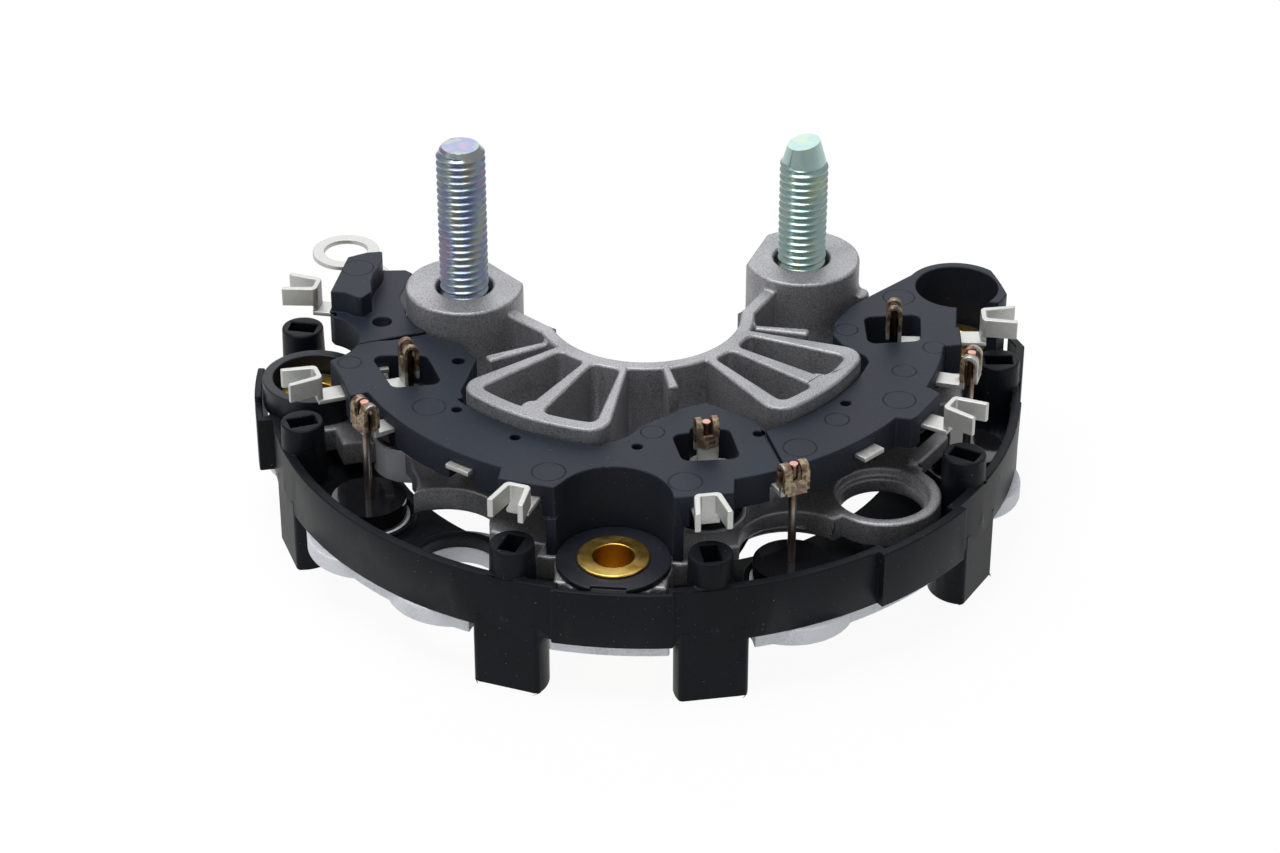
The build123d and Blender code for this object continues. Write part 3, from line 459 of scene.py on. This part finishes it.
def softTwin(node, slotName, width, sharp):
    piece = bpy.data.objects.new(node + "_rounded", cadNodes[node].data.copy())
    bpy.context.scene.collection.objects.link(piece)
    pick(piece)
    bpy.ops.object.mode_set(mode="EDIT")
    bpy.ops.mesh.select_all(action="SELECT")
    bpy.ops.mesh.remove_doubles(threshold=0.002 * mm)
    if node == "positive_heat_sink":  # the ears' top faces have wide holes, so they stay as they are
        bpy.ops.mesh.select_all(action="DESELECT")
        bpy.ops.object.mode_set(mode="OBJECT")
        for corner in piece.data.vertices:
            corner.select = abs(corner.co.z / mm - earTop) > 0.05
        bpy.ops.object.mode_set(mode="EDIT")
        bpy.ops.mesh.select_mode(type="VERT")
    if node != "insulator_ring":
        bpy.ops.mesh.dissolve_limited(angle_limit=math.radians(1.0))
    bpy.ops.object.mode_set(mode="OBJECT")
    if node in ("connector_board_left", "connector_board_middle"):
        hugBoss(piece)
    if node == "insulator_ring":
        liftBand(piece)
    roundEdges(piece, width, sharp)
    place(piece, node, slotName)


for node, (slotName, width, sharp) in edgeWidths.items():
    softTwin(node, slotName, width, sharp)
print("rounded pieces ready")

# Terminal studs: thread cut down into the boss, knurl and hexagon head below
threadLook = {"pitch": 1.25, "crest": 4.0, "root": 3.28, "steps": 48}  # radii, steps for one turn
threadShape = [  # share of the pitch and of the depth
    (0.0, 0.0), (0.10, 0.05), (0.38, 0.82), (0.44, 0.95), (0.50, 1.0),
    (0.54, 1.0), (0.60, 0.95), (0.66, 0.82), (0.94, 0.05), (1.0, 0.0),
]
headLook = {"flats": 13, "height": 5, "level": 12.5, "edge": 0.3}
knurlLook = {"radius": 4.6, "height": 9, "level": 19.5, "corners": 72, "valley": 0.95, "edge": 0.1}
studLooks = {  # top, radius, slope and length of the point, lean of the tip, turn of the head
    "left_terminal_stud": {
        "slot": "zinc_blue", "high": 60.7, "tip": 3.0, "slope": 0.8, "length": 0.8,
        "lean": 0, "turn": 24.4,
    },
    "right_terminal_stud": {
        "slot": "zinc_green", "high": 57.1, "tip": 2.5, "slope": 0.28, "length": 4.0,
        "lean": 0.2, "turn": 5.6,
    },
}
threadStart = 24.0


def threadedRod(low, high):
    bpy.ops.mesh.primitive_plane_add(size=2 * mm)
    rod = bpy.context.object
    pitch = threadLook["pitch"]
    depth = threadLook["crest"] - threadLook["root"]
    bpy.ops.object.mode_set(mode="EDIT")
    bpy.ops.mesh.merge(type="CENTER")
    bpy.ops.transform.translate(value=(threadLook["root"] * mm, 0, (low - pitch) * mm))
    for (share, rise), (nextShare, nextRise) in zip(threadShape, threadShape[1:]):
        step = ((nextRise - rise) * depth * mm, 0, (nextShare - share) * pitch * mm)
        bpy.ops.mesh.extrude_vertices_move(TRANSFORM_OT_translate={"value": step})
    bpy.ops.object.mode_set(mode="OBJECT")
    turns = rod.modifiers.new("thread", "SCREW")
    turns.screw_offset = pitch * mm
    turns.iterations = int((high - low) / pitch) + 3
    turns.steps = turns.render_steps = threadLook["steps"]
    bpy.ops.object.modifier_apply(modifier=turns.name)
    bpy.ops.object.mode_set(mode="EDIT")
    for level, below in ((low, True), (high, False)):
        bpy.ops.mesh.select_all(action="SELECT")
        bpy.ops.mesh.bisect(plane_co=(0, 0, level * mm), plane_no=(0, 0, 1), use_fill=True,
                            clear_inner=below, clear_outer=not below, threshold=0.0001 * mm)
    bpy.ops.mesh.select_all(action="SELECT")
    bpy.ops.mesh.normals_make_consistent(inside=False)
    bpy.ops.object.mode_set(mode="OBJECT")
    return rod


def pointRod(rod, look):  # smooth cone on top, then a chamfer down to the crests
    length = look["length"]
    for corner in rod.data.vertices:
        reach = math.hypot(corner.co.x, corner.co.y)
        down = look["high"] - corner.co.z / mm
        limit = (look["tip"] + min(down, length) * look["slope"] + max(down - length, 0)) * mm
        if reach > limit or 0.001 < down < length:
            corner.co.x *= limit / reach
            corner.co.y *= limit / reach


def slantTip(rod, high, lean):  # a tip that slopes down to the left
    pick(rod)
    bpy.ops.object.mode_set(mode="EDIT")
    bpy.ops.mesh.select_all(action="SELECT")
    bpy.ops.mesh.bisect(plane_co=(2.6 * mm, 0, high * mm), plane_no=(-lean, -lean / 3, 1), use_fill=True,
                        clear_inner=False, clear_outer=True, threshold=0.0001 * mm)
    bpy.ops.mesh.select_all(action="DESELECT")
    bpy.ops.object.mode_set(mode="OBJECT")


def studOf(node, look):
    low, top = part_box(node)
    middle = ((low[0] + top[0]) / 2, (low[1] + top[1]) / 2, 0)
    clearSelection()
    rod = threadedRod(threadStart, look["high"])
    pointRod(rod, look)
    if look["lean"]:
        slantTip(rod, look["high"], look["lean"])
    bpy.ops.mesh.primitive_cylinder_add(
        vertices=6, radius=headLook["flats"] / math.sqrt(3) * mm, depth=headLook["height"] * mm,
        location=(0, 0, headLook["level"] * mm), rotation=(0, 0, math.radians(look["turn"])))
    head = bpy.context.object
    bpy.ops.mesh.primitive_cylinder_add(
        vertices=knurlLook["corners"], radius=knurlLook["radius"] * mm, depth=knurlLook["height"] * mm,
        location=(0, 0, knurlLook["level"] * mm))
    knurl = bpy.context.object
    for index, corner in enumerate(knurl.data.vertices):
        if index // 2 % 2:
            corner.co.x *= knurlLook["valley"]
            corner.co.y *= knurlLook["valley"]
    roundEdges(head, headLook["edge"])
    roundEdges(knurl, knurlLook["edge"])
    clearSelection()
    for piece in (head, knurl, rod):
        piece.select_set(True)
    bpy.context.view_layer.objects.active = rod
    bpy.ops.object.join()
    rod.location = middle
    bpy.ops.object.transform_apply(location=True, rotation=True, scale=True)
    bpy.ops.object.shade_smooth_by_angle(angle=math.radians(35))
    rod.name = node + "_threaded"
    place(rod, node, look["slot"])


for node, look in studLooks.items():
    studOf(node, look)
print("studs ready")

# Floor, light and camera
stageLook = {"floorSize": 3.0, "floorTone": 0.6, "floorGlow": 1.04, "seenShare": 0.9,
             "worldStrength": 0.26, "glossStrength": 0.25}
lampLooks = {  # place, point aimed at, size, watts
    "topLight": ((-0.15, -0.05, 0.9), (0, -0.01, 0.02), 0.7, 6.6),
    "leftLight": ((-0.8, -0.35, 0.45), (0, 0, 0.02), 0.4, 0.5),
    "backLight": ((-0.08, 0.85, 0.54), (0, 0, 0.02), 0.8, 2.0),
}


def softLight(name, spot, aim, size, power):
    data = bpy.data.lights.new(name, "AREA")
    data.shape = "DISK"
    data.size = size
    data.energy = power
    lamp = bpy.data.objects.new(name, data)
    lamp.location = spot
    lamp.rotation_euler = (Vector(aim) - Vector(spot)).to_track_quat("-Z", "Y").to_euler()
    bpy.context.scene.collection.objects.link(lamp)


for name, (spot, aim, size, power) in lampLooks.items():
    softLight(name, spot, aim, size, power)

clearSelection()
bpy.ops.mesh.primitive_plane_add(size=stageLook["floorSize"], location=(0, 0, 0))
floor = bpy.context.object
floor.name = "studioFloor"
tone = stageLook["floorTone"]
floorConstants = {"Base Color": (tone, tone, tone, 1), "Roughness": 0.9}
floorMade, floorPlace, floorShader = finishOf("floorWhite", floorConstants)
white = floorPlace.node("Emission", {}, {"Strength": stageLook["floorGlow"]})
isCamera = floorPlace.node("LightPath", {}, {}, 0)
isGlossy = floorPlace.node("LightPath", {}, {}, 3)
share = (isCamera + isGlossy) * stageLook["seenShare"]
shaded = Wire(floorMade.node_tree, floorShader.outputs[0])
both = floorPlace.node("MixShader", {}, {0: share, 1: shaded, 2: white})
floorMade.node_tree.links.new(both.socket, floorMade.node_tree.nodes["Material Output"].inputs[0])
wear(floor, floorMade)

world = bpy.data.worlds.new("studio")
bpy.context.scene.world = world
world.use_nodes = True
air = world.node_tree.nodes["Background"]
rays = world.node_tree.nodes.new("ShaderNodeLightPath")
cameraRay, glossyRay = Wire(world.node_tree, rays.outputs[0]), Wire(world.node_tree, rays.outputs[3])
strength = stageLook["worldStrength"]
seen = cameraRay * (1 - strength) + glossyRay * stageLook["glossStrength"] + strength
air.inputs[0].default_value = (1, 1, 1, 1)
world.node_tree.links.new(seen.socket, air.inputs[1])

photoView = {"turn": 5.3, "rise": 31.7, "far": 548.4, "aim": (1.24, 2.53, 20.0), "lens": 95.74}
turn, rise = math.radians(photoView["turn"]), math.radians(photoView["rise"])
back = Vector((math.sin(turn) * math.cos(rise), -math.cos(turn) * math.cos(rise), math.sin(rise)))
camera = bpy.data.objects.new("photoCamera", bpy.data.cameras.new("photoCamera"))
camera.data.lens = photoView["lens"]
camera.data.sensor_width = 36
camera.data.clip_start = 0.01
camera.location = Vector(photoView["aim"]) * mm + back * photoView["far"] * mm
camera.rotation_euler = (-back).to_track_quat("-Z", "Y").to_euler()
bpy.context.scene.collection.objects.link(camera)
bpy.context.scene.camera = camera
bpy.context.scene.view_settings.view_transform = "Standard"
print("stage ready")
